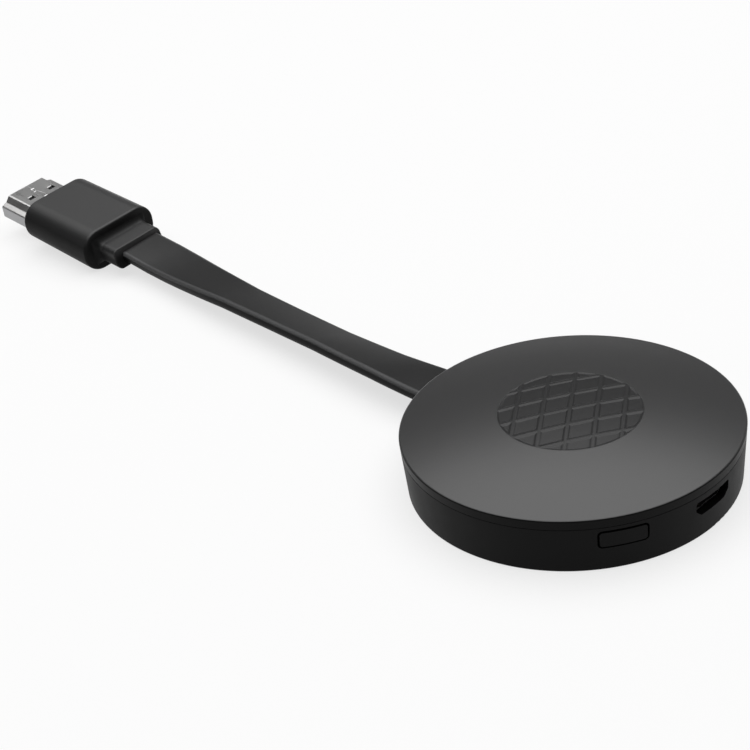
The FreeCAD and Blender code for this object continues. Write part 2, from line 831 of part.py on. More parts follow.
def make_power_socket():
    """Metal shell, insulating tongue and contacts of the power socket."""
    outer = prism("socket_outer", socket_outline("0"), "-socket_front", "-socket_back")
    round_edges(outer, "socket_corners", "socket_rounding", runs_along_y)
    inner = prism("socket_inner", socket_outline("socket_wall"),
                  "-socket_front - cut_margin", "-socket_back + cut_margin")
    keep("socket_shell", cut("socket_cut", outer, [inner]))
    root = prism("tongue_block", socket_outline("socket_wall + socket_fit"),
                 "-socket_back - tongue_root", "-socket_back")
    low = "board_top + socket_high - socket_wall - tongue_drop - tongue_thick"
    tongue = block("tongue_bar", "tongue_wide", "tongue_reach", "tongue_thick",
                   "0", "-socket_back - tongue_reach", low)
    keep("socket_tongue", join("tongue_fused", [root, tongue]))
    pins = []
    for number in range(SOCKET_PINS):
        pins.append(block(f"socket_pin_{number + 1}", "pin_wide",
                          "tongue_reach - tongue_root - pin_inset", "pin_thick",
                          row_place(number, SOCKET_PINS, "pin_pitch"),
                          "-socket_back - tongue_reach + pin_inset", f"{low} - pin_thick"))
    keep("socket_contacts", group("socket_pin_group", pins))


def make_button():
    """Button cap with its inner flange and stem, and the switch's plunger."""
    points = [("button_wide / 2", "button_low"), ("button_wide / 2", "button_low + button_high")]
    face = prism("button_face", points, "-rim_radius - cut_margin", "-flange_face")
    round_edges(face, "button_face_corners", "button_rounding", runs_along_y)
    wall = doc.addObject("Part::Cone", "button_wall")
    bind(wall, Radius1="base_radius + button_proud", Radius2="rim_radius + button_proud",
         Height="rim_height")
    front = common("button_front", [face, wall])
    flange_box = block("flange_box", "button_wide + 2 * flange_margin", "flange_depth",
                       "button_high + flange_margin", "0", "-cavity_radius",
                       "button_low - flange_margin")
    flange_round = rod("flange_round", "cavity_radius - flange_gap", "seam_height")
    flange = common("button_flange", [flange_box, flange_round])
    stem = block("button_stem", "stem_wide", "stem_long + weld", "stem_high",
                 "0", "-flange_face - weld", "button_height - stem_high / 2")
    cap = join("button_fused", [front, flange, stem])
    keep("button_cap", place(cap, turn="button_turn"))
    length = "plunger_proud + switch_pocket - button_travel - plunger_gap"
    plunger = block("plunger_box", "plunger_wide", length, "plunger_high",
                    "0", "-plunger_face", "button_height - plunger_high / 2")
    keep("switch_plunger", place(group("plunger_group", [plunger]), turn="button_turn"))


def make_switch():
    """Side-press switch: housing with a pocket for its plunger, and top plate."""
    housing = block("switch_box", "switch_wide", "switch_deep", "switch_high",
                    "0", "-switch_front", "board_top")
    pocket = block("switch_hollow", "plunger_wide + 2 * plunger_gap", "switch_pocket + cut_margin",
                   "plunger_high + 2 * plunger_gap", "0", "-switch_front - cut_margin",
                   "button_height - plunger_high / 2 - plunger_gap")
    cut_housing = cut("switch_cut", housing, [pocket])
    keep("switch_housing", place(cut_housing, turn="button_turn"))
    plate = block("plate_box", "switch_wide", "switch_deep", "plate_thick",
                  "0", "-switch_front", "board_top + switch_high")
    keep("switch_plate", place(group("plate_group", [plate]), turn="button_turn"))


def make_cable_grip():
    """Moulded grip that fills the slot in the wall, and the cores behind it."""
    points = [("neck_wide / 2", "neck_low"), ("neck_wide / 2", "neck_low + neck_high")]
    neck = prism("neck", points, "seat_face - weld", "exit_y")
    round_edges(neck, "neck_corners", "neck_rounding", runs_along_y)
    flange = block("grip_flange", "grip_wide", "grip_thick", "grip_high",
                   "0", "grip_back", "grip_low")
    keep("cable_grip", place(join("grip_fused", [neck, flange]), x="exit_x"))
    cores = []
    for number in range(CORE_COUNT):
        x = f"exit_x + {row_place(number, CORE_COUNT, 'core_pitch')}"
        cores.append(wire_rod(f"core_{number + 1}", "core_radius", "core_length", x,
                              "grip_back - core_length", "board_top + core_radius"))
    keep("cable_cores", group("core_group", cores))


def cable_route():
    """Points of the cable from the grip to the face of the relief's core."""
    turned = FreeCAD.Rotation(*[value_of(angle) for angle in PLUG_ANGLES])
    along = turned.multVec(FreeCAD.Vector(0, 1, 0))
    front = FreeCAD.Vector(value_of("plug_x"), value_of("plug_y"), value_of("plug_z"))
    end = front - along * value_of("plug_length + relief_length")
    start = FreeCAD.Vector(value_of("exit_x"), value_of("exit_y"), value_of("exit_z"))
    middle = [FreeCAD.Vector(*point) for point in CABLE_MIDDLE_POINTS]
    return [start] + middle + [end - along * value_of("last_run"), end]


def rounded_path(points):
    """Straight runs joined by tangent arcs, with the length and the radii."""
    edges = []
    radii = []
    length = 0.0
    here = points[0]
    for before, corner, after in zip(points, points[1:], points[2:]):
        arriving = (corner - before).normalize()
        leaving = (after - corner).normalize()
        turn = arriving.getAngle(leaving)
        shorter = min((corner - before).Length, (after - corner).Length)
        cut_back = 0.45 * shorter
        radius = cut_back / math.tan(turn / 2)
        first = corner - arriving * cut_back
        second = corner + leaving * cut_back
        bulge = (leaving - arriving).normalize()
        middle = corner + bulge * (radius / math.cos(turn / 2) - radius)
        edges.append(Part.LineSegment(here, first).toShape())
        edges.append(Part.Arc(first, middle, second).toShape())
        length += (first - here).Length + radius * turn
        radii.append(radius)
        here = second
    edges.append(Part.LineSegment(here, points[-1]).toShape())
    length += (points[-1] - here).Length
    return Part.Wire(edges), length, radii


def cable_section():
    """Flat face of the cable's section, with rounded corners, about the origin."""
    wide = value_of("cable_wide")
    thick = value_of("cable_thick")
    plane = Part.makePlane(wide, thick, FreeCAD.Vector(-wide / 2, -thick / 2, 0))
    slab = plane.extrude(FreeCAD.Vector(0, 0, 1))
    upright = [edge for edge in slab.Edges if abs(edge.tangentAt(0).z) > 0.999]
    rounded = slab.makeFillet(value_of("cable_rounding"), upright)
    return [face for face in rounded.Faces if abs(face.CenterOfMass.z) < 1e-6][0]


def make_flat_cable():
    """Flat cable swept along its route, with rounded edges."""
    route = cable_route()
    path, length, radii = rounded_path(route)
    section = cable_section()
    profile = section.OuterWire.copy()
    stand = FreeCAD.Rotation(FreeCAD.Vector(1, 0, 0), 90)
    profile.Placement = FreeCAD.Placement(route[0], stand)
    cable = doc.addObject("Part::Feature", "cable_sweep")
    cable.Shape = path.makePipeShell([profile], True, False)
    print(f"cable length {length:.2f} mm, radii {[round(radius, 1) for radius in radii]}")
    print(f"cable volume {cable.Shape.Volume:.2f}, section times length {section.Area * length:.2f}")
    keep("flat_cable", cable)


# How the plug lies: turned about Z, its far side leaned up, its front end tilted up
PLUG_ANGLES = ("plug_turn", "-plug_lean", "plug_tilt")


def seat_on_plug(label, obj):
    """Give a piece built on the plug's own upright frame its place, and keep it."""
    middle = f"create(<<vector>>; 0; 0; {rule('plug_middle')})"
    base = f"create(<<vector>>; {rule('plug_x')}; {rule('plug_y')}; {rule('plug_z - plug_middle')})"
    angles = "; ".join(rule(angle) for angle in PLUG_ANGLES)
    turned = f"create(<<rotation>>; {angles})"
    obj.setExpression("Placement", f"create(<<placement>>; {base}; {turned}; {middle})")
    return keep(label, obj)


def shell_outline(inset):
    """Right half of the video plug's metal section, widest at the bottom."""
    return [
        (f"shell_wide / 2 - ({inset})", f"shell_low + ({inset})"),
        (f"shell_wide / 2 - ({inset})", f"shell_low + shell_side - 0.4 * ({inset})"),
        (f"shell_step_wide / 2 - ({inset})", f"shell_low + shell_step_high - 0.6 * ({inset})"),
        (f"shell_top_wide / 2 - 0.7 * ({inset})", f"shell_low + shell_high - ({inset})"),
    ]


def make_overmould():
    """Moulded plug body that widens a little towards its back, hollow for the metal
    shell and what lies behind it."""
    front = [("plug_wide / 2", "0"), ("plug_wide / 2", "plug_high")]
    back = [("plug_back_wide / 2", "-plug_rising / 2"), ("plug_back_wide / 2", "plug_high + plug_rising / 2")]
    body = lofted("plug_outer", [("0", front), ("plug_length", back)])
    round_edges(body, "plug_corners", "plug_corner", long_edge_at("plug_high"))
    round_edges(body, "plug_feet", "foot_corner", long_edge_at("0"))
    round_edges(body, "plug_back_edge", "plug_edge", lies_at_y("-plug_length"))
    round_edges(body, "plug_front_rim", "plug_front_edge", lies_at_y("0"))
    hole = prism("shell_hole", shell_outline("-fit_gap"), "-shell_root - cut_margin", "cut_margin")
    chamber = block("plug_chamber", "mould_wide + 2 * fit_gap",
                    "mould_back - shell_root + 2 * fit_gap", "mould_high + 2 * fit_gap",
                    "0", "-mould_back - fit_gap", "plug_middle - mould_high / 2 - fit_gap")
    seat_on_plug("plug_overmould", cut("plug_hollowed", body, [hole, chamber]))


# The strain relief's flare: how far along it, and how much wider there
FLARE_STEPS = ((0.0, 1.0), (0.25, 0.45), (0.55, 0.15), (1.0, 0.0))


def make_relief():
    """Strain relief that narrows from the plug's back to the cable, and a core that
    the cable's end is welded to."""
    steps = [(f"flare_long * {share}", relief_outline(f"flare_spread * {spread}"))
             for share, spread in FLARE_STEPS]
    body = lofted("relief_flared", steps)
    round_edges(body, "relief_flare_corners", "relief_corner", spans_y("flare_long"))
    place(body, y="-plug_length")
    half_wide = "cable_wide / 2 - relief_core_side"
    half_high = "(cable_thick / 2 - relief_core_cover)"
    points = [(half_wide, f"plug_middle - {half_high}"), (half_wide, f"plug_middle + {half_high}")]
    core = prism("relief_core", points, "relief_end", "relief_top_end + weld")
    round_edges(core, "relief_core_corners", "cable_rounding - relief_core_cover", runs_along_y)
    seat_on_plug("strain_relief", join("relief_fused", [body, relief_straight(), core]))


def relief_straight():
    """Even part of the strain relief, drawn from the side, with a slanted end that
    is longest underneath."""
    body, sketch = body_sketch("relief_straight", "YZ_Plane")
    draw_outline(sketch, [
        ("relief_end", "relief_low"),
        ("-plug_length - flare_long", "relief_low"),
        ("-plug_length - flare_long", "relief_low + relief_high"),
        ("relief_top_end", "relief_low + relief_high"),
    ])
    pad = body.newObject("PartDesign::Pad", "relief_straight_pad")
    pad.Profile = sketch
    bind(pad, Length="relief_wide")
    round_edges(body, "relief_corners", "relief_corner", runs_along_y)
    round_edges(body, "relief_end_rim", "relief_edge", lies_on_relief_end)
    return place(body, x="-relief_wide / 2")


def lies_on_relief_end(edge):
    """True for an edge on the slanted end of the strain relief."""
    slope = math.tan(math.radians(value_of("relief_slant")))
    middle = edge.valueAt((edge.FirstParameter + edge.LastParameter) / 2)
    spots = [vertex.Point for vertex in edge.Vertexes] + [middle]
    return all(abs(spot.y - value_of("relief_end") - (spot.z - value_of("relief_low")) * slope) < 1e-3
               for spot in spots)


def relief_outline(spread):
    """Right half of the strain relief's section, larger all round by a spread."""
    half_wide = f"relief_wide / 2 + {spread}"
    half_high = f"(relief_high / 2 + {spread})"
    return [(half_wide, f"plug_middle - {half_high}"), (half_wide, f"plug_middle + {half_high}")]


def make_video_shell():
    """Metal shell of the video plug, with two latch windows in its top."""
    outer = prism("shell_outer", shell_outline("0"), "-shell_root", "shell_reach")
    round_edges(outer, "shell_corners", "shell_rounding", runs_along_y)
    inner = prism("shell_inner", shell_outline("shell_wall"),
                  "-shell_root - cut_margin", "shell_reach + cut_margin")
    tools = [inner]
    for number, side in enumerate(("-1", "1"), start=1):
        tools.append(block(f"latch_window_{number}", "window_wide", "window_long", "3 * shell_wall",
                           f"({side}) * window_x + window_shift", "window_y",
                           "shell_low + shell_high - 2 * shell_wall"))
    seat_on_plug("video_shell", cut("shell_cut", outer, tools))


def make_video_insulator():
    """Insulator that fills the metal shell round the contact slot."""
    solid = prism("insulator_outer", shell_outline("shell_wall + fit_gap"), "-insulator_root",
                  "slot_front")
    slot = block("contact_slot", "slot_wide", "slot_deep + cut_margin", "slot_high",
                 "0", "slot_front - slot_deep", "slot_low")
    seat_on_plug("video_insulator", cut("insulator_cut", solid, [slot]))


def make_video_contacts():
    """Contact strips on the two walls of the slot."""
    strips = []
    for name, count, low in (("upper", UPPER_CONTACTS, "slot_low + slot_high - contact_thick"),
                             ("lower", LOWER_CONTACTS, "slot_low")):
        for number in range(count):
            strips.append(block(f"{name}_contact_{number + 1}", "contact_wide",
                                "slot_deep - contact_inset", "contact_thick",
                                row_place(number, count, "contact_pitch"),
                                "slot_front - slot_deep", low))
    seat_on_plug("video_contacts", group("contact_group", strips))


def make_plug_inside():
    """Small board, its leads and the inner mould inside the plug."""
    paddle = block("paddle", "paddle_wide", "paddle_long", "paddle_thick",
                   "0", "-mould_front", "paddle_low")
    seat_on_plug("plug_board", group("paddle_group", [paddle]))
    leads = []
    for number in range(LEAD_COUNT):
        leads.append(wire_rod(f"lead_{number + 1}", "lead_radius", "lead_length",
                              row_place(number, LEAD_COUNT, "lead_pitch"), "-mould_front",
                              "paddle_low + paddle_thick + lead_radius"))
    seat_on_plug("plug_leads", group("lead_group", leads))
    mould = block("inner_mould_box", "mould_wide", "mould_back - mould_front", "mould_high",
                  "0", "-mould_back", "plug_middle - mould_high / 2")
    seat_on_plug("inner_mould", group("inner_mould_group", [mould]))


make_base_shell()
make_top_cover()
make_board()
make_board_screws()
make_cooling()
make_chips()
make_radio_module()
make_power_socket()
make_button()
make_switch()
make_cable_grip()
make_flat_cable()
make_relief()
make_overmould()
make_video_shell()
make_video_insulator()
make_video_contacts()
make_plug_inside()
doc.recompute()

for item in doc.Objects:
    troubles = [state for state in item.State if state in ("Invalid", "Error")]
    if troubles:
        raise RuntimeError(f"{item.Name} did not compute: {troubles}")

os.makedirs("parts", exist_ok=True)
for item in PARTS:
    shape = item.Shape
    if shape.isNull() or not shape.isValid() or not shape.Solids:
        raise RuntimeError(f"{item.Label} has no valid solid")
    shape.exportStep(f"parts/{item.Label}.step")
    print(f"{item.Label}: {len(shape.Solids)} solids, {shape.Volume:.2f} mm3")
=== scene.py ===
import json
import math

import bpy
import numpy as np
from mathutils import Matrix, Vector


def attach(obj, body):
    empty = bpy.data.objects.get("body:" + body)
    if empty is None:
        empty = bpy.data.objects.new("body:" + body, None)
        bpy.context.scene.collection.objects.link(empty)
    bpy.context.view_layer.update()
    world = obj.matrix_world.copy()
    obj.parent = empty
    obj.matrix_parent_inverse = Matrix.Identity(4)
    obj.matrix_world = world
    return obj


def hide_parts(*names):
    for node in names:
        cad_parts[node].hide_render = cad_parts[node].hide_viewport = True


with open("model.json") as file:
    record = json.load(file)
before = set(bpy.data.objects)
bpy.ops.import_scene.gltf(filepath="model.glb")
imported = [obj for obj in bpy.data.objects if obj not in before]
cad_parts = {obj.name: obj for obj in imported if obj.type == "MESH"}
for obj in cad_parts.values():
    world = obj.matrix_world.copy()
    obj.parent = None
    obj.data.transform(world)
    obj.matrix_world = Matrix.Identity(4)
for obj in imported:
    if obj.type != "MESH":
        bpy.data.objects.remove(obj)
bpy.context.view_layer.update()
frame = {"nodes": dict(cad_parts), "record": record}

# Camera of the photograph: an 86 mm view from 34 degrees above the table
CAMERA_AT = Vector((-0.18868, -0.16250, 0.16731))
CAMERA_FORWARD = Vector((0.57995, 0.63984, -0.50425))
CAMERA_UP = Vector((0.42868, 0.28665, 0.85677))
CAMERA_LENS = 86.4
SENSOR_WIDTH = 36.0
CAMERA_NEAR = 0.005
CAMERA_FAR = 50.0

# The flat cable, as in the part's source: points of its route, length, width and
# thickness, and the rounding of its edges
CABLE_EXIT = (0.0012, 0.0292, 0.005)
CABLE_POINTS = [
    CABLE_EXIT,
    (0.0012, 0.0390, 0.00500),
    (0.0025, 0.0530, 0.00440),
    (0.00405, 0.0695, 0.00400),
    (0.0054, 0.0860, 0.00390),
    (0.00685, 0.1010, 0.00375),
    (0.00810, 0.1112, 0.00370),
    (0.00865, 0.1216, 0.00450),
    (0.00872, 0.1238, 0.00468),
]
CABLE_WIDE = 0.010
CABLE_THICK = 0.0022
CABLE_ROUNDING = 0.0009
CABLE_ROWS = 141
ROUTE_RESOLUTION = 48
# How far the cable leans about its own line, in degrees, by its Y
CABLE_BANK = ((0.029, -1.0), (0.034, -3.0), (0.044, -10.0), (0.060, -15.0), (0.075, -13.5),
              (0.088, -11.0), (0.098, -4.0), (0.108, 3.0), (0.115, 6.0), (0.1216, 5.0),
              (0.1238, 5.0))

# The jacket's skin: its top, its sides painted darker as shade, its upper edges painted
# lighter as a highlight, the coat where it is fresh and where it is worn, and the stretch
# of Y over which worn gives way to fresh
JACKET_TOP = (0.015, 0.015, 0.0153, 1.0)
JACKET_SIDE_SHADE = (0.004, 0.004, 0.004, 1.0)
JACKET_EDGE_HIGHLIGHT = (0.065, 0.065, 0.066, 1.0)
JACKET_COAT = 0.42
JACKET_WORN_COAT = 0.24
JACKET_WORN_TO = (0.088, 0.112)
JACKET_COAT_ROUGHNESS = 0.34

# Where the jacket's zones begin and are full: the top by its depth below the top face,
# the strip of painted highlight by its distance from the side and by that depth
JACKET_TOP_DEPTH = (0.0007, 0.0002)
EDGE_HIGHLIGHT_FROM_SIDE = (0.0010, 0.0006)
EDGE_HIGHLIGHT_DEPTH = (0.0008, 0.0004)

# How the plug lies: the middle of its front face, and its turn, lean and tilt
PLUG_FRONT = Vector((0.00846, 0.15104, 0.006795))
PLUG_TURN = -1.25
PLUG_LEAN = 4.8
PLUG_TILT = 4.45
PLUG_LENGTH = 0.0219

# The plug's coat, on the body and on the relief behind it, which is lower by the lift
PLUG_COAT = 0.9
RELIEF_COAT = 0.75
RELIEF_LIFT = 0.0022
BODY_FADE = 0.0003
RELIEF_FADE = (0.0003, 0.0018)
COAT_IOR = 1.6

# The plug's metal shell: height of its top and half widths over all and on top
SHELL_TOP = 0.001275
SHELL_HALF_WIDE = 0.00695
SHELL_TOP_HALF_WIDE = 0.00463

# Colours of the shell's zones, lit and shaded copies of one plate: a grey top, a painted
# highlight on the fold, lighter painted reflection on the slopes and painted shade on the
# walls; and where each begins and is full
SHELL_TOP_COLOUR = (0.43, 0.428, 0.425, 1.0)
SHELL_FOLD_HIGHLIGHT = (0.95, 0.945, 0.94, 1.0)
SHELL_SLOPE_HIGHLIGHT = (0.70, 0.695, 0.69, 1.0)
SHELL_WALL_SHADE = (0.36, 0.36, 0.365, 1.0)
SHELL_WALL_ROUGHER = 0.15
FOLD_INSIDE_TOP = (0.0005, 0.0003)
SLOPE_OUTSIDE_TOP = (0.0001, 0.0003)
WALL_INSIDE_SIDE = (0.0003, 0.0001)

# The spring tongues in the shell's two latch windows
WINDOW_X = 0.0027
WINDOW_SHIFT = 0.00055
WINDOW_FRONT = 0.00735
TONGUE_WIDE = 0.0013
TONGUE_THICK = 0.00018
TONGUE_ROUNDING = 0.00006
TONGUE_BEND = 0.00025
TONGUE_TURN = 78.0
TONGUE_STEPS = 13
TONGUE_AHEAD = 0.00005
TONGUE_BELOW = 0.00010
SMALL_CORNER = 4

# The folded seam: corners across and along the shell, and tabs by place, width and
# length, all in millimetres; then the sections in metres
SEAM_CORNERS = ((0.3, 11.7), (0.3, 10.2), (0.6, 9.7), (-0.05, 9.5), (-0.05, 8.3), (0.5, 8.4),
                (0.9, 5.6), (0.4, 4.7), (0.1, 4.5), (0.3, 3.9), (0.3, 0.3))
SEAM_TABS = ((0.3, 9.6, 0.9, 0.6), (-0.05, 8.2, 0.55, 0.45), (0.4, 4.7, 0.9, 0.45))
MILLIMETRE = 0.001
SEAM_STEPS = 90
SEAM_HEIGHT = SHELL_TOP + 0.00001
SEAM_WIDE, SEAM_THICK, SEAM_ROUNDING = 0.00016, 0.00009, 0.00003
TAB_THICK, TAB_ROUNDING = 0.00013, 0.00006

# The cover's crown and rim, and its sunk round badge with a lattice of ribs
RIM_RADIUS = 0.0282
RIM_HEIGHT = 0.00985
CROWN_HEIGHT = 0.0025
BADGE_RADIUS = 0.0119
BADGE_DEPTH = 0.000125
RIB_PITCH = 0.0044
RIB_TURN = 34.0
RIB_HALF_WIDE = 0.00023
RIB_FLANK = 0.00034
RIB_LINES = 2
BADGE_COAT = 0.5
BADGE_COAT_EDGE = 0.00005

# The badge's face: the pin hole at its middle, how far it runs past the badge, where
# its edge begins to rise and over what width, and how it lies to the CAD's surfaces
BADGE_PIN = 0.00002
BADGE_PAST = 0.00003
BADGE_EDGE_FROM = 0.0004
BADGE_EDGE_WIDE = 0.00036
BADGE_ABOVE = 0.000008
BADGE_BELOW = 0.00001
BADGE_RINGS = 130
BADGE_SPOKES = 360


def aim(obj, place, forward, up):
    """Set an object at a place, looking along forward with up above it."""
    forward = forward.normalized()
    side = forward.cross(up).normalized()
    above = side.cross(forward)
    turn = Matrix((side, above, -forward)).transposed()
    obj.matrix_world = Matrix.Translation(place) @ turn.to_4x4()


def make_camera():
    """Camera at the photograph's viewing angle."""
    camera = bpy.data.cameras.new("photo_camera")
    camera.lens = CAMERA_LENS
    camera.sensor_width = SENSOR_WIDTH
    camera.clip_start = CAMERA_NEAR
    camera.clip_end = CAMERA_FAR
    holder = bpy.data.objects.new("photo_camera", camera)
    bpy.context.scene.collection.objects.link(holder)
    aim(holder, CAMERA_AT, CAMERA_FORWARD, CAMERA_UP)
    bpy.context.scene.camera = holder


def add_node(tree, kind, values=None, **settings):
    """Add a node; a value that is a socket is linked, any other is set."""
    node = tree.nodes.new(kind)
    for key, value in settings.items():
        setattr(node, key, value)
    for key, value in (values or {}).items():
        if isinstance(value, bpy.types.NodeSocket):
            tree.links.new(value, node.inputs[key])
        else:
            node.inputs[key].default_value = value
    return node


def calc(tree, operation, first, second=0.0, third=0.0):
    """Output of one Math node."""
    values = {0: first, 1: second, 2: third}
    return add_node(tree, "ShaderNodeMath", values, operation=operation).outputs[0]


def blend_colour(tree, share, first, second):
    """Output of a colour Mix node: first where share is 0, second where it is 1."""
    node = add_node(tree, "ShaderNodeMix", {0: share, 6: first, 7: second}, data_type="RGBA")
    return node.outputs[2]


def step_up(tree, value, low, high):
    """Mask that rises smoothly from 0 at low to 1 at high."""
    node = add_node(tree, "ShaderNodeMapRange", {"Value": value, "From Min": low, "From Max": high},
                    interpolation_type="SMOOTHSTEP")
    return node.outputs["Result"]


# Studio: where each lamp stands, as azimuth and elevation in degrees seen from
# the object, its distance and size in metres, and its radiance
LAMPS = {
    "overhead_softbox": (42.0, 83.0, 0.93, 1.70, 1.90),
    "left_softbox": (165.0, 22.0, 0.90, 0.35, 0.5),
}
LAMP_TARGET = Vector((0.004, 0.07, 0.0))

# Surroundings: levels away from and towards the bright azimuth, and of the pale band
# that fades out over a stretch of height above the horizon
DIM_LEVEL = 0.06
BRIGHT_LEVEL = 0.195
BRIGHT_AZIMUTH = 10.0
BRIGHT_SPREAD = (-0.4, 0.9)
HORIZON_LEVEL = 0.95
HORIZON_FADE = (0.03, 0.09)
FLOOR_COLOUR = 0.95
FLOOR_GLOW_SHARE = 0.7
FLOOR_RADIUS = 4.0
FLOOR_CORNERS = 96


def make_lamp(name, azimuth, elevation, distance, size, radiance):
    """Round soft lamp; its power follows from its radiance and its area."""
    lamp = bpy.data.lights.new(name, "AREA")
    lamp.shape = "DISK"
    lamp.size = size
    lamp.energy = radiance * math.pi * math.pi * size * size / 4
    flat = math.cos(math.radians(elevation))
    direction = Vector((flat * math.cos(math.radians(azimuth)),
                        flat * math.sin(math.radians(azimuth)),
                        math.sin(math.radians(elevation))))
    holder = bpy.data.objects.new(name, lamp)
    bpy.context.scene.collection.objects.link(holder)
    aim(holder, LAMP_TARGET + direction * distance, -direction, Vector((0, 0, 1)))


def make_world():
    """Dim surroundings, lighter towards the bright azimuth, with a pale band at the
    horizon, like a paper sweep."""
    world = bpy.data.worlds.new("studio")
    world.use_nodes = True
    tree = world.node_tree
    direction = add_node(tree, "ShaderNodeTexCoord").outputs["Generated"]
    height = add_node(tree, "ShaderNodeSeparateXYZ", {0: direction}).outputs["Z"]
    bright = math.radians(BRIGHT_AZIMUTH)
    bright_side = (math.cos(bright), math.sin(bright), 0.0)
    towards = add_node(tree, "ShaderNodeVectorMath", {0: direction, 1: bright_side},
                       operation="DOT_PRODUCT").outputs["Value"]
    sky = add_node(tree, "ShaderNodeMapRange", {
        "Value": towards, "From Min": BRIGHT_SPREAD[0], "From Max": BRIGHT_SPREAD[1],
        "To Min": DIM_LEVEL, "To Max": BRIGHT_LEVEL}).outputs["Result"]
    level = add_node(tree, "ShaderNodeMapRange", {
        "Value": height, "From Min": HORIZON_FADE[0], "From Max": HORIZON_FADE[1],
        "To Min": HORIZON_LEVEL, "To Max": sky},
        interpolation_type="SMOOTHSTEP").outputs["Result"]
    background = tree.nodes["Background"]
    background.inputs["Color"].default_value = (1.0, 1.0, 1.0, 1.0)
    tree.links.new(level, background.inputs["Strength"])
    bpy.context.scene.world = world


def make_floor():
    """Round pale floor; the camera, metal and glass see it lifted towards white."""
    turn = np.linspace(0.0, 2.0 * math.pi, FLOOR_CORNERS + 1)[:-1]
    rim = np.column_stack([FLOOR_RADIUS * np.cos(turn), FLOOR_RADIUS * np.sin(turn),
                           np.zeros(FLOOR_CORNERS)])
    mesh = bpy.data.meshes.new("floor")
    mesh.from_pydata(rim.tolist(), [], [list(range(FLOOR_CORNERS))])
    floor = bpy.data.objects.new("floor", mesh)
    bpy.context.scene.collection.objects.link(floor)
    material = bpy.data.materials.new("floor_paper")
    material.use_nodes = True
    tree = material.node_tree
    tree.nodes.remove(tree.nodes["Principled BSDF"])
    paper = add_node(tree, "ShaderNodeBsdfDiffuse", {"Color": (FLOOR_COLOUR,) * 3 + (1.0,)})
    glow = add_node(tree, "ShaderNodeEmission", {"Strength": 1.0})
    path = add_node(tree, "ShaderNodeLightPath").outputs
    seen = calc(tree, "MAXIMUM", path["Is Camera Ray"],
                calc(tree, "MAXIMUM", path["Is Glossy Ray"], path["Is Transmission Ray"]))
    share = calc(tree, "MULTIPLY", seen, FLOOR_GLOW_SHARE)
    both = add_node(tree, "ShaderNodeMixShader",
                    {0: share, 1: paper.outputs[0], 2: glow.outputs[0]})
    tree.links.new(both.outputs[0], tree.nodes["Material Output"].inputs["Surface"])
    mesh.materials.append(material)


def mesh_of(name, points, faces):
    """Make a smooth mesh object from arrays of points and faces and link it."""
    mesh = bpy.data.meshes.new(name)
    mesh.from_pydata(points.tolist(), [], faces)
    mesh.polygons.foreach_set("use_smooth", np.full(len(mesh.polygons), True))
    mesh.update()
    piece = bpy.data.objects.new(name, mesh)
    bpy.context.scene.collection.objects.link(piece)
    return piece


def soft_step(share):
    """Smooth step of an array: 0 below 0, 1 above 1."""
    share = np.clip(share, 0.0, 1.0)
    return share * share * (3.0 - 2.0 * share)


def tube_faces(rows, columns):
    """Quads of a closed tube of points, row by row, with a flat face at each end."""
    row = np.arange(rows - 1)[:, None]
    column = np.arange(columns)[None, :]
    here = row * columns + column
    beside = row * columns + (column + 1) % columns
    quads = np.stack([here, here + columns, beside + columns, beside], axis=-1)
    faces = quads.reshape(-1, 4).tolist()
    faces.append(list(range(columns)))
    faces.append(list(range((rows - 1) * columns, rows * columns))[::-1])
    return faces


def spline_points(points, count):
    """Even points on the smooth NURBS line that the given control points shape."""
    curve = bpy.data.curves.new("route", "CURVE")
    curve.dimensions = "3D"
    curve.resolution_u = ROUTE_RESOLUTION
    spline = curve.splines.new("NURBS")
    spline.points.add(len(points) - 1)
    for target, point in zip(spline.points, points):
        target.co = (*point, 1.0)
    spline.order_u = 3
    spline.use_endpoint_u = True
    holder = bpy.data.objects.new("route", curve)
    bpy.context.scene.collection.objects.link(holder)
    bpy.context.view_layer.update()
    line = bpy.data.meshes.new_from_object(holder)
    places = np.empty(len(line.vertices) * 3)
    line.vertices.foreach_get("co", places)
    places = places.reshape(-1, 3)
    bpy.data.objects.remove(holder)
    bpy.data.meshes.remove(line)
    steps = np.linalg.norm(np.diff(places, axis=0), axis=1)
    along = np.concatenate([[0.0], np.cumsum(steps)])
    even = np.linspace(0.0, along[-1], count)
    return np.column_stack([np.interp(even, along, places[:, axis]) for axis in range(3)])


def rounded_section(wide, thick, corner, per_corner=8):
    """Closed outline of a rounded bar: four quarter circles joined by straight sides."""
    angles = np.linspace(0.0, math.pi / 2, per_corner)
    outline = []
    for quarter, (side, up) in enumerate(((1, 1), (-1, 1), (-1, -1), (1, -1))):
        turn = angles + quarter * math.pi / 2
        outline.append(np.column_stack([side * (wide / 2 - corner) + corner * np.cos(turn),
                                        up * (thick / 2 - corner) + corner * np.sin(turn)]))
    return np.vstack(outline)


def carried(line, section, lean):
    """Carry a section along a line: each row is the line's point plus the section's
    first number times the sideways direction and its second times the upward one,
    both turned about the line by the lean."""
    tangent = np.gradient(line, axis=0)
    tangent /= np.linalg.norm(tangent, axis=1)[:, None]
    side = np.cross(tangent, (0.0, 0.0, 1.0))
    side /= np.linalg.norm(side, axis=1)[:, None]
    above = np.cross(side, tangent)
    across = side * np.cos(lean) + above * np.sin(lean)
    up = above * np.cos(lean) - side * np.sin(lean)
    return (line[:, None, :] + section[None, :, :1] * across[:, None, :]
            + section[None, :, 1:] * up[:, None, :])


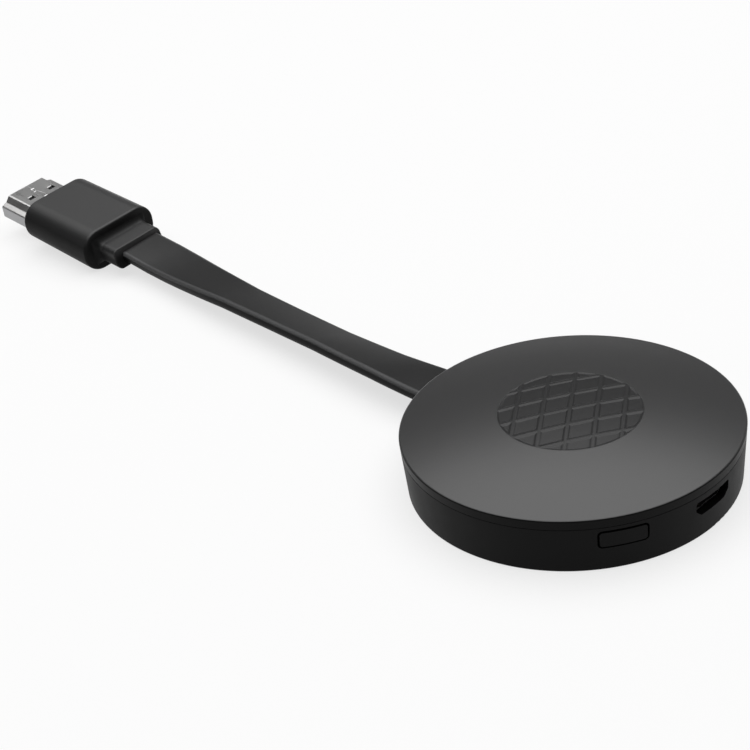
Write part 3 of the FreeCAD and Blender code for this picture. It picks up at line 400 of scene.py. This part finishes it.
def make_flat_cable():
    """Ribbon: a rounded bar's outline carried along the route and leaned about it.
    Each point keeps its place in the outline as an attribute, for the jacket's skin."""
    line = spline_points(CABLE_POINTS, CABLE_ROWS)
    bank_at, bank = np.array(CABLE_BANK).T
    lean = np.radians(np.interp(line[:, 1], bank_at, bank))[:, None]
    section = rounded_section(CABLE_WIDE, CABLE_THICK, CABLE_ROUNDING)
    points = carried(line, section, lean)
    cable = mesh_of("cable_jacket", points.reshape(-1, 3), tube_faces(*points.shape[:2]))
    places = np.zeros((len(cable.data.vertices), 3))
    places[:len(line) * len(section), :2] = np.tile(section, (len(line), 1))
    kept = cable.data.attributes.new("section_place", "FLOAT_VECTOR", "POINT")
    kept.data.foreach_set("vector", places.ravel())
    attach(cable, "dongle")
    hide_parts("flat_cable")
    plug = ["strain_relief", "plug_overmould", "video_shell", "video_insulator", "video_contacts",
            "plug_board", "plug_leads", "inner_mould", "cable_grip"]
    plug_pieces = [frame["nodes"][name] for name in plug] + make_latch_tongues() + make_shell_seam()
    return cable


def plug_frame():
    """Matrix that takes the plug's own frame to where the plug lies."""
    turned = (Matrix.Rotation(math.radians(PLUG_TURN), 3, "Z")
              @ Matrix.Rotation(math.radians(-PLUG_LEAN), 3, "Y")
              @ Matrix.Rotation(math.radians(PLUG_TILT), 3, "X"))
    return np.array(turned)


def on_plug(points):
    """Move points from the plug's own frame, about the middle of its front face."""
    return points @ plug_frame().T + np.array(PLUG_FRONT)


def shell_piece(name, line, section):
    """A small bar of steel, carried along a line in the plug's own frame."""
    points = carried(line, section, 0.0)
    piece = mesh_of(name, on_plug(points.reshape(-1, 3)), tube_faces(*points.shape[:2]))
    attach(piece, "dongle")
    return piece


def make_latch_tongues():
    """Spring tongues bent down into the shell's two windows: a quarter circle back
    and down from the window's front edge."""
    tongues = []
    section = rounded_section(TONGUE_WIDE, TONGUE_THICK, TONGUE_ROUNDING, SMALL_CORNER)
    turn = np.radians(np.linspace(0.0, TONGUE_TURN, TONGUE_STEPS))
    for number, side in enumerate((-1.0, 1.0), start=1):
        line = np.column_stack([np.full(TONGUE_STEPS, side * WINDOW_X + WINDOW_SHIFT),
                                WINDOW_FRONT + TONGUE_AHEAD - TONGUE_BEND * np.sin(turn),
                                SHELL_TOP - TONGUE_BELOW - TONGUE_BEND * (1.0 - np.cos(turn))])
        tongues.append(shell_piece(f"latch_tongue_{number}", line, section))
    return tongues


def make_shell_seam():
    """Folded seam down the middle of the shell's top: a flat bead along a line that
    steps out and back at its dovetails, and a pressed tab at each of them."""
    corners = np.array(SEAM_CORNERS) * MILLIMETRE
    steps = np.concatenate([[0.0], np.cumsum(np.linalg.norm(np.diff(corners, axis=0), axis=1))])
    even = np.linspace(0.0, steps[-1], SEAM_STEPS)
    line = np.column_stack([np.interp(even, steps, corners[:, axis]) for axis in range(2)]
                           + [np.full(SEAM_STEPS, SEAM_HEIGHT)])
    bead = rounded_section(SEAM_WIDE, SEAM_THICK, SEAM_ROUNDING, SMALL_CORNER)
    pieces = [shell_piece("shell_seam", line, bead)]
    for number, place in enumerate(SEAM_TABS, start=1):
        across, along, wide, long = (MILLIMETRE * size for size in place)
        line = np.array([(across, along + shift * long, SEAM_HEIGHT) for shift in (0.5, 0.0, -0.5)])
        tab = rounded_section(wide, TAB_THICK, TAB_ROUNDING, SMALL_CORNER)
        pieces.append(shell_piece(f"seam_tab_{number}", line, tab))
    return pieces


def make_badge_face():
    """Soft-edged face of the sunk badge, a closed disc on a grid of radius and turn.
    Its height is the crown's sphere less the badge's depth, and rises back to the
    crown near each line of the crossed ribs and near its own edge."""
    radii = np.linspace(BADGE_PIN, BADGE_RADIUS + BADGE_PAST, BADGE_RINGS)[:, None]
    turn = np.linspace(0.0, 2.0 * math.pi, BADGE_SPOKES + 1)[None, :-1]
    x, y = radii * np.cos(turn), radii * np.sin(turn)
    sphere = (RIM_RADIUS ** 2 + CROWN_HEIGHT ** 2) / (2 * CROWN_HEIGHT)
    crown = RIM_HEIGHT + CROWN_HEIGHT - sphere + np.sqrt(sphere ** 2 - x ** 2 - y ** 2)
    rise = soft_step((radii - BADGE_RADIUS + BADGE_EDGE_FROM) / BADGE_EDGE_WIDE) + 0.0 * x
    for side in (-1.0, 1.0):
        lean = math.radians(side * RIB_TURN)
        across = (y * math.cos(lean) - x * math.sin(lean)) / RIB_PITCH
        line = np.clip(np.round(across), -RIB_LINES, RIB_LINES)
        off = np.abs(across - line) * RIB_PITCH
        rise = np.maximum(rise, 1.0 - soft_step((off - RIB_HALF_WIDE) / RIB_FLANK))
    top = np.stack([x, y, crown + BADGE_ABOVE - BADGE_DEPTH * (1.0 - rise)], axis=-1)
    under = np.stack([x, y, crown - BADGE_DEPTH - BADGE_BELOW], axis=-1)[::-1]
    points = np.concatenate([top, under])
    face = mesh_of("badge_face", points.reshape(-1, 3), tube_faces(*points.shape[:2]))
    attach(face, "dongle")
    return face


def make_group(name, inputs, outputs):
    """Start a shader node group with named inputs and outputs; returns the group, the
    sockets that give its inputs and the sockets that take its outputs."""
    kinds = {"Vector": "NodeSocketVector", "Colour": "NodeSocketColor"}
    group = bpy.data.node_groups.new(name, "ShaderNodeTree")
    for way, labels in (("INPUT", inputs), ("OUTPUT", outputs)):
        for label in labels:
            group.interface.new_socket(label, in_out=way,
                                       socket_type=kinds.get(label, "NodeSocketFloat"))
    given = group.nodes.new("NodeGroupInput").outputs
    results = group.nodes.new("NodeGroupOutput").inputs
    return group, given, results


def shaded(group, given, fine, cloud, results):
    """Colour times one plus the two noises' swing, and roughness plus their swing."""
    fine_swing = calc(group, "SUBTRACT", fine, 0.5)
    cloud_swing = calc(group, "SUBTRACT", cloud, 0.5)
    swing = calc(group, "ADD", fine_swing, cloud_swing)
    shade = calc(group, "MULTIPLY_ADD", swing, given["Shade Spread"], 1.0)
    colour = add_node(group, "ShaderNodeVectorMath", {0: given["Colour"], "Scale": shade},
                      operation="SCALE")
    rough = calc(group, "MULTIPLY_ADD", swing, given["Roughness Spread"], given["Roughness"])
    group.links.new(colour.outputs[0], results["Colour"])
    group.links.new(rough, results["Roughness"])


# How many times slower than the fine noise the drift in tone is, how rolling draws the
# noise out, and a board's tracks and pads in shares of their cell
MOULDED_DRIFT = 24.0
ROLLED_DRIFT = 12.0
ROLLED_STRETCH = (1.0, 0.03, 1.0)
TRACK_HALF_WIDE = 0.16
PAD_RADIUS = 0.34
PAD_CHANCE = 0.86


def make_moulded_skin():
    """Skin of moulded plastic or rubber: fine noise for the grain, slow noise for
    the drift in tone and gloss, both on the given vector."""
    group, given, results = make_group(
        "moulded_skin",
        ["Vector", "Colour", "Grain Scale", "Shade Spread", "Roughness", "Roughness Spread"],
        ["Colour", "Roughness", "Height"])
    fine = add_node(group, "ShaderNodeTexNoise", {
        "Vector": given["Vector"], "Scale": given["Grain Scale"], "Detail": 2.0, "Roughness": 0.6})
    slow = calc(group, "DIVIDE", given["Grain Scale"], MOULDED_DRIFT)
    cloud = add_node(group, "ShaderNodeTexNoise", {
        "Vector": given["Vector"], "Scale": slow, "Detail": 3.0, "Roughness": 0.5})
    shaded(group, given, fine.outputs["Fac"], cloud.outputs["Fac"], results)
    group.links.new(fine.outputs["Fac"], results["Height"])
    return group


def make_rolled_metal():
    """Skin of rolled or plated metal: noise drawn out along Y for the rolling
    lines, and slow noise for the drift in tone and gloss."""
    group, given, results = make_group(
        "rolled_metal",
        ["Vector", "Colour", "Line Scale", "Shade Spread", "Roughness", "Roughness Spread"],
        ["Colour", "Roughness", "Height"])
    drawn = add_node(group, "ShaderNodeVectorMath", {0: given["Vector"], 1: ROLLED_STRETCH},
                     operation="MULTIPLY")
    fine = add_node(group, "ShaderNodeTexNoise", {
        "Vector": drawn.outputs[0], "Scale": given["Line Scale"], "Detail": 3.0, "Roughness": 0.6})
    slow = calc(group, "DIVIDE", given["Line Scale"], ROLLED_DRIFT)
    cloud = add_node(group, "ShaderNodeTexNoise", {
        "Vector": given["Vector"], "Scale": slow, "Detail": 2.0, "Roughness": 0.5})
    shaded(group, given, fine.outputs["Fac"], cloud.outputs["Fac"], results)
    group.links.new(fine.outputs["Fac"], results["Height"])
    return group


def make_track_layout():
    """Tracks of a board: each square cell holds a line along X or along Y by its
    own random number, and some cells hold a round pad instead."""
    group, given, results = make_group("track_layout", ["Vector", "Cell Scale"], ["Track", "Pad"])
    grid = add_node(group, "ShaderNodeVectorMath",
                    {0: given["Vector"], "Scale": given["Cell Scale"]}, operation="SCALE").outputs[0]
    cell = add_node(group, "ShaderNodeVectorMath", {0: grid}, operation="FLOOR").outputs[0]
    spot = add_node(group, "ShaderNodeVectorMath", {0: grid}, operation="FRACTION").outputs[0]
    flat = add_node(group, "ShaderNodeVectorMath", {0: cell, 1: (1.0, 1.0, 0.0)},
                    operation="MULTIPLY").outputs[0]
    chance = add_node(group, "ShaderNodeTexWhiteNoise", {"Vector": flat}).outputs["Value"]
    place = add_node(group, "ShaderNodeSeparateXYZ", {0: spot}).outputs
    from_x = calc(group, "ABSOLUTE", calc(group, "SUBTRACT", place["X"], 0.5))
    from_y = calc(group, "ABSOLUTE", calc(group, "SUBTRACT", place["Y"], 0.5))
    upright = calc(group, "GREATER_THAN", chance, 0.5)
    off_line = add_node(group, "ShaderNodeMix", {0: upright, 2: from_y, 3: from_x}).outputs[0]
    track = calc(group, "LESS_THAN", off_line, TRACK_HALF_WIDE)
    reach = calc(group, "SQRT", calc(group, "ADD", calc(group, "MULTIPLY", from_x, from_x),
                                     calc(group, "MULTIPLY", from_y, from_y)))
    round_pad = calc(group, "LESS_THAN", reach, PAD_RADIUS)
    chosen = calc(group, "GREATER_THAN", chance, PAD_CHANCE)
    group.links.new(track, results["Track"])
    group.links.new(calc(group, "MULTIPLY", round_pad, chosen), results["Pad"])
    return group


def start_material(name, metallic=0.0, specular=0.5):
    """New material with its shader's even numbers set; returns material, tree, shader."""
    material = bpy.data.materials.new(name)
    material.use_nodes = True
    shader = material.node_tree.nodes["Principled BSDF"]
    shader.inputs["Metallic"].default_value = metallic
    shader.inputs["Specular IOR Level"].default_value = specular
    return material, material.node_tree, shader


def object_vector(tree, turned=None):
    """Object coordinates, turned back into a piece's own frame where one is given."""
    vector = add_node(tree, "ShaderNodeTexCoord").outputs["Object"]
    if turned is None:
        return vector
    values = {"Vector": vector, "Rotation": turned[0], "Location": turned[1]}
    return add_node(tree, "ShaderNodeMapping", values, vector_type="TEXTURE").outputs[0]


def raise_skin(tree, shader, height, distance):
    """Feed a height, in shares of a distance in metres, to the shader's normal."""
    bump = add_node(tree, "ShaderNodeBump", {"Height": height, "Distance": distance,
                                             "Strength": 1.0})
    tree.links.new(bump.outputs[0], shader.inputs["Normal"])


def use_group(tree, group, **values):
    """Place a node group; names of values use _ for the spaces in socket names."""
    node = tree.nodes.new("ShaderNodeGroup")
    node.node_tree = group
    for key, value in values.items():
        socket = node.inputs[key.replace("_", " ")]
        if isinstance(value, bpy.types.NodeSocket):
            tree.links.new(value, socket)
        else:
            socket.default_value = value
    return node.outputs


def skin_material(name, group, colour, scale, shade, rough, rough_spread, relief, specular,
                  metallic=0.0):
    """Material of one skin or metal group with its own values."""
    material, tree, shader = start_material(name, metallic, specular)
    scale_name = "Line_Scale" if metallic else "Grain_Scale"
    made = use_group(tree, group, Vector=object_vector(tree), Colour=(*colour, 1.0),
                     Shade_Spread=shade, Roughness=rough, Roughness_Spread=rough_spread,
                     **{scale_name: scale})
    tree.links.new(made["Colour"], shader.inputs["Base Color"])
    tree.links.new(made["Roughness"], shader.inputs["Roughness"])
    raise_skin(tree, shader, made["Height"], relief)
    return material


def coated_material(name, skin, colour, under, scale, rough, coat_rough, heights, turned=None,
                    badge=False):
    """Satin moulding with a clear-coat gloss on its upper faces: between the two
    heights the coat sets in and the under colour, a darker copy painted on the lower
    faces as shade, gives way to the colour. On a turned piece both lie lower behind
    the plug's back, where the relief is lower, and inside a sunk badge only a share
    of the coat is left."""
    material, tree, shader = start_material(name, specular=0.07)
    vector = object_vector(tree, turned)
    made = use_group(tree, skin, Vector=vector, Colour=(*colour, 1.0), Grain_Scale=scale,
                     Shade_Spread=0.25, Roughness=rough, Roughness_Spread=0.10)
    place = add_node(tree, "ShaderNodeSeparateXYZ", {0: vector}).outputs
    height = place["Z"]
    if turned:
        back = calc(tree, "MULTIPLY", place["Y"], -1.0)
        body = step_up(tree, back, PLUG_LENGTH, PLUG_LENGTH - BODY_FADE)
        behind = step_up(tree, back, PLUG_LENGTH + RELIEF_FADE[0], PLUG_LENGTH + RELIEF_FADE[1])
        height = calc(tree, "MULTIPLY_ADD", behind, RELIEF_LIFT, height)
        on_body = calc(tree, "MULTIPLY", body, PLUG_COAT)
        open_share = calc(tree, "MULTIPLY_ADD", behind, RELIEF_COAT, on_body)
    coat = above = step_up(tree, height, *heights)
    if turned:
        coat = calc(tree, "MULTIPLY", above, open_share)
    if badge:
        flat = add_node(tree, "ShaderNodeVectorMath", {0: vector, 1: (1.0, 1.0, 0.0)},
                        operation="MULTIPLY").outputs[0]
        radius = add_node(tree, "ShaderNodeVectorMath", {0: flat},
                          operation="LENGTH").outputs["Value"]
        outside = step_up(tree, radius, BADGE_RADIUS - BADGE_COAT_EDGE,
                          BADGE_RADIUS + BADGE_COAT_EDGE)
        share = calc(tree, "MULTIPLY_ADD", outside, 1.0 - BADGE_COAT, BADGE_COAT)
        coat = calc(tree, "MULTIPLY", above, share)
    tree.links.new(coat, shader.inputs["Coat Weight"])
    shader.inputs["Coat Roughness"].default_value = coat_rough
    shader.inputs["Coat IOR"].default_value = COAT_IOR
    # Painted shade: below the heights the faces take the darker under colour.
    base = blend_colour(tree, above, (*under, 1.0), made["Colour"])
    tree.links.new(base, shader.inputs["Base Color"])
    tree.links.new(made["Roughness"], shader.inputs["Roughness"])
    raise_skin(tree, shader, made["Height"], 0.000012)
    return material


def jacket_material(name, skin):
    """Cable jacket, by its place in the ribbon's section: the flat top has a thin
    coat that is worn over most of its length, its upper edges carry a painted
    highlight, and the sides are painted darker as shade."""
    material, tree, shader = start_material(name, specular=0.10)
    vector = object_vector(tree)
    made = use_group(tree, skin, Vector=vector, Colour=JACKET_TOP,
                     Grain_Scale=4500.0, Shade_Spread=0.25, Roughness=0.42, Roughness_Spread=0.10)
    section = add_node(tree, "ShaderNodeAttribute", attribute_name="section_place")
    place = add_node(tree, "ShaderNodeSeparateXYZ", {0: section.outputs["Vector"]}).outputs
    across = calc(tree, "ABSOLUTE", place["X"])
    top = step_up(tree, place["Y"], *(CABLE_THICK / 2 - depth for depth in JACKET_TOP_DEPTH))
    beside = step_up(tree, across, *(CABLE_WIDE / 2 - inset for inset in EDGE_HIGHLIGHT_FROM_SIDE))
    upper = step_up(tree, place["Y"], *(CABLE_THICK / 2 - depth for depth in EDGE_HIGHLIGHT_DEPTH))
    edge_highlight = calc(tree, "MULTIPLY", beside, upper)
    # The sides take a darker colour as painted shade, and the upper edges a lighter one as a painted
    # highlight.
    flat = blend_colour(tree, top, JACKET_SIDE_SHADE, made["Colour"])
    tree.links.new(blend_colour(tree, edge_highlight, flat, JACKET_EDGE_HIGHLIGHT), shader.inputs["Base Color"])
    along = add_node(tree, "ShaderNodeSeparateXYZ", {0: vector}).outputs["Y"]
    fresh = step_up(tree, along, *JACKET_WORN_TO)
    coat = calc(tree, "MULTIPLY_ADD", fresh, JACKET_COAT - JACKET_WORN_COAT, JACKET_WORN_COAT)
    tree.links.new(calc(tree, "MULTIPLY", top, coat), shader.inputs["Coat Weight"])
    shader.inputs["Coat Roughness"].default_value = JACKET_COAT_ROUGHNESS
    shader.inputs["Coat IOR"].default_value = COAT_IOR
    tree.links.new(made["Roughness"], shader.inputs["Roughness"])
    raise_skin(tree, shader, made["Height"], 0.000010)
    return material


def shell_steel_material(name, metal, turned):
    """Bright plate of the plug's shell, by the place across it: a grey top, a painted
    highlight on the fold at its left edge, slopes painted lighter as a reflection, and
    side walls painted darker as shade and made rougher."""
    material, tree, shader = start_material(name, 1.0)
    vector = object_vector(tree, turned)
    made = use_group(tree, metal, Vector=vector, Colour=SHELL_TOP_COLOUR, Line_Scale=5000.0,
                     Shade_Spread=0.18, Roughness=0.30, Roughness_Spread=0.10)
    place = add_node(tree, "ShaderNodeSeparateXYZ", {0: vector}).outputs["X"]
    across = calc(tree, "ABSOLUTE", place)
    fold = step_up(tree, place, *(inset - SHELL_TOP_HALF_WIDE for inset in FOLD_INSIDE_TOP))
    slope = step_up(tree, across, *(SHELL_TOP_HALF_WIDE + past for past in SLOPE_OUTSIDE_TOP))
    wall = step_up(tree, across, *(SHELL_HALF_WIDE - inset for inset in WALL_INSIDE_SIDE))
    # Painted highlight on the fold, painted reflection on the slopes, painted shade on the walls.
    folded = blend_colour(tree, fold, made["Colour"], SHELL_FOLD_HIGHLIGHT)
    bright = blend_colour(tree, slope, folded, SHELL_SLOPE_HIGHLIGHT)
    wall_shaded = blend_colour(tree, wall, bright, SHELL_WALL_SHADE)
    tree.links.new(wall_shaded, shader.inputs["Base Color"])
    rough = calc(tree, "MULTIPLY_ADD", wall, SHELL_WALL_ROUGHER, made["Roughness"])
    tree.links.new(rough, shader.inputs["Roughness"])
    raise_skin(tree, shader, made["Height"], 0.000003)
    return material


# A board's solder mask, the same mask over a track, and its gold pads
BOARD_MASK = (0.012, 0.075, 0.035, 1.0)
BOARD_TRACK = (0.03, 0.16, 0.075, 1.0)
BOARD_PAD = (0.75, 0.56, 0.24, 1.0)
BOARD_CELLS = 900.0


def board_material(name, skin, tracks):
    """Solder mask over tracks that show through it a little lighter, with gold pads."""
    material, tree, shader = start_material(name)
    vector = object_vector(tree)
    made = use_group(tree, skin, Vector=vector, Colour=BOARD_MASK,
                     Grain_Scale=3000.0, Shade_Spread=0.2, Roughness=0.32, Roughness_Spread=0.1)
    layout = use_group(tree, tracks, Vector=vector, Cell_Scale=BOARD_CELLS)
    masked = blend_colour(tree, layout["Track"], made["Colour"], BOARD_TRACK)
    colour = blend_colour(tree, layout["Pad"], masked, BOARD_PAD)
    tree.links.new(colour, shader.inputs["Base Color"])
    tree.links.new(made["Roughness"], shader.inputs["Roughness"])
    tree.links.new(layout["Pad"], shader.inputs["Metallic"])
    raise_skin(tree, shader, layout["Track"], 0.00003)
    return material


# Skins: colour, grain per metre, swing of tone, roughness and its swing, relief
# in metres, specular level
SKINS = {
    "side_plastic": ((0.003, 0.003, 0.003), 7000.0, 0.25, 0.48, 0.10, 0.000010, 0.08),
    "button_plastic": ((0.0028, 0.0028, 0.0028), 7000.0, 0.25, 0.46, 0.08, 0.000008, 0.08),
    "chip_black": ((0.016, 0.016, 0.017), 5000.0, 0.35, 0.50, 0.12, 0.000016, 0.4),
    "pad_grey": ((0.42, 0.44, 0.48), 2500.0, 0.15, 0.62, 0.12, 0.000030, 0.3),
    "ceramic_white": ((0.78, 0.78, 0.74), 3000.0, 0.08, 0.24, 0.06, 0.000006, 0.5),
    "ceramic_tan": ((0.40, 0.28, 0.16), 6000.0, 0.25, 0.45, 0.10, 0.000010, 0.5),
    "coil_grey": ((0.10, 0.10, 0.11), 5000.0, 0.40, 0.62, 0.14, 0.000025, 0.4),
    "insulator_black": ((0.008, 0.008, 0.008), 5000.0, 0.30, 0.50, 0.10, 0.000010, 0.3),
    "core_plastic": ((0.45, 0.45, 0.46), 4000.0, 0.10, 0.45, 0.08, 0.000008, 0.5),
    "mould_white": ((0.68, 0.68, 0.63), 3500.0, 0.10, 0.60, 0.10, 0.000020, 0.4),
}

# Metals: colour, lines per metre, swing of tone, roughness and its swing, relief
METALS = {
    # The socket's steel is darker than bright steel: painted shade inside the puck's mouth.
    "socket_steel": ((0.24, 0.24, 0.24), 5000.0, 0.20, 0.36, 0.12, 0.000004),
    "lid_steel": ((0.78, 0.78, 0.78), 4000.0, 0.15, 0.30, 0.12, 0.000004),
    "screw_steel": ((0.28, 0.28, 0.29), 6000.0, 0.25, 0.36, 0.12, 0.000006),
    "sink_aluminium": ((0.66, 0.67, 0.69), 3000.0, 0.12, 0.38, 0.12, 0.000010),
    "contact_gold": ((0.80, 0.60, 0.25), 6000.0, 0.12, 0.24, 0.08, 0.000003),
}


def make_materials():
    """One finish for each material slot of the record."""
    skin = make_moulded_skin()
    metal = make_rolled_metal()
    tracks = make_track_layout()
    on_lie = (Matrix(plug_frame().tolist()).to_euler("XYZ"), PLUG_FRONT)
    made = {slot: skin_material(slot, skin, *values) for slot, values in SKINS.items()}
    for slot, values in METALS.items():
        made[slot] = skin_material(slot, metal, *values, specular=0.5, metallic=1.0)
    # The cover's skirt below the rim takes the darker under colour as painted shade.
    made["cover_plastic"] = coated_material(
        "cover_plastic", skin, colour=(0.014, 0.014, 0.0143), under=(0.003,) * 3, scale=7000.0,
        rough=0.40, coat_rough=0.30, heights=(RIM_HEIGHT - 0.00012, RIM_HEIGHT), badge=True)
    # The plug's lower faces and the relief's sides take the darker under colour as painted shade.
    made["plug_plastic"] = coated_material(
        "plug_plastic", skin, colour=(0.012, 0.012, 0.0122), under=(0.007,) * 3, scale=6000.0,
        rough=0.50, coat_rough=0.42, heights=(0.0020, 0.0042), turned=on_lie)
    made["cable_rubber"] = jacket_material("cable_rubber", skin)
    made["plug_steel"] = shell_steel_material("plug_steel", metal, on_lie)
    made["board_green"] = board_material("board_green", skin, tracks)
    return made


def dress(obj, material):
    """Give a piece, or a CAD node, its material on every slot."""
    if not obj.data.materials:
        obj.data.materials.append(material)
    for index in range(len(obj.data.materials)):
        obj.data.materials[index] = material


make_camera()
cable_jacket = make_flat_cable()
badge_face = make_badge_face()
for lamp_name, lamp_settings in LAMPS.items():
    make_lamp(lamp_name, *lamp_settings)
make_world()
make_floor()
finishes = make_materials()
for part in frame["record"]["subparts"]:
    dress(frame["nodes"][part["node"]], finishes[part["material_slot"]])
dress(cable_jacket, finishes["cable_rubber"])
dress(badge_face, finishes["cover_plastic"])
for shell_part in ("latch_tongue_1", "latch_tongue_2"):
    dress(bpy.data.objects[shell_part], finishes["plug_steel"])
# The seam and its tabs take the lighter lid steel, a painted highlight on the shell's top.
for seam_part in ("shell_seam", "seam_tab_1", "seam_tab_2", "seam_tab_3"):
    dress(bpy.data.objects[seam_part], finishes["lid_steel"])

bpy.context.scene.view_settings.view_transform = "Standard"
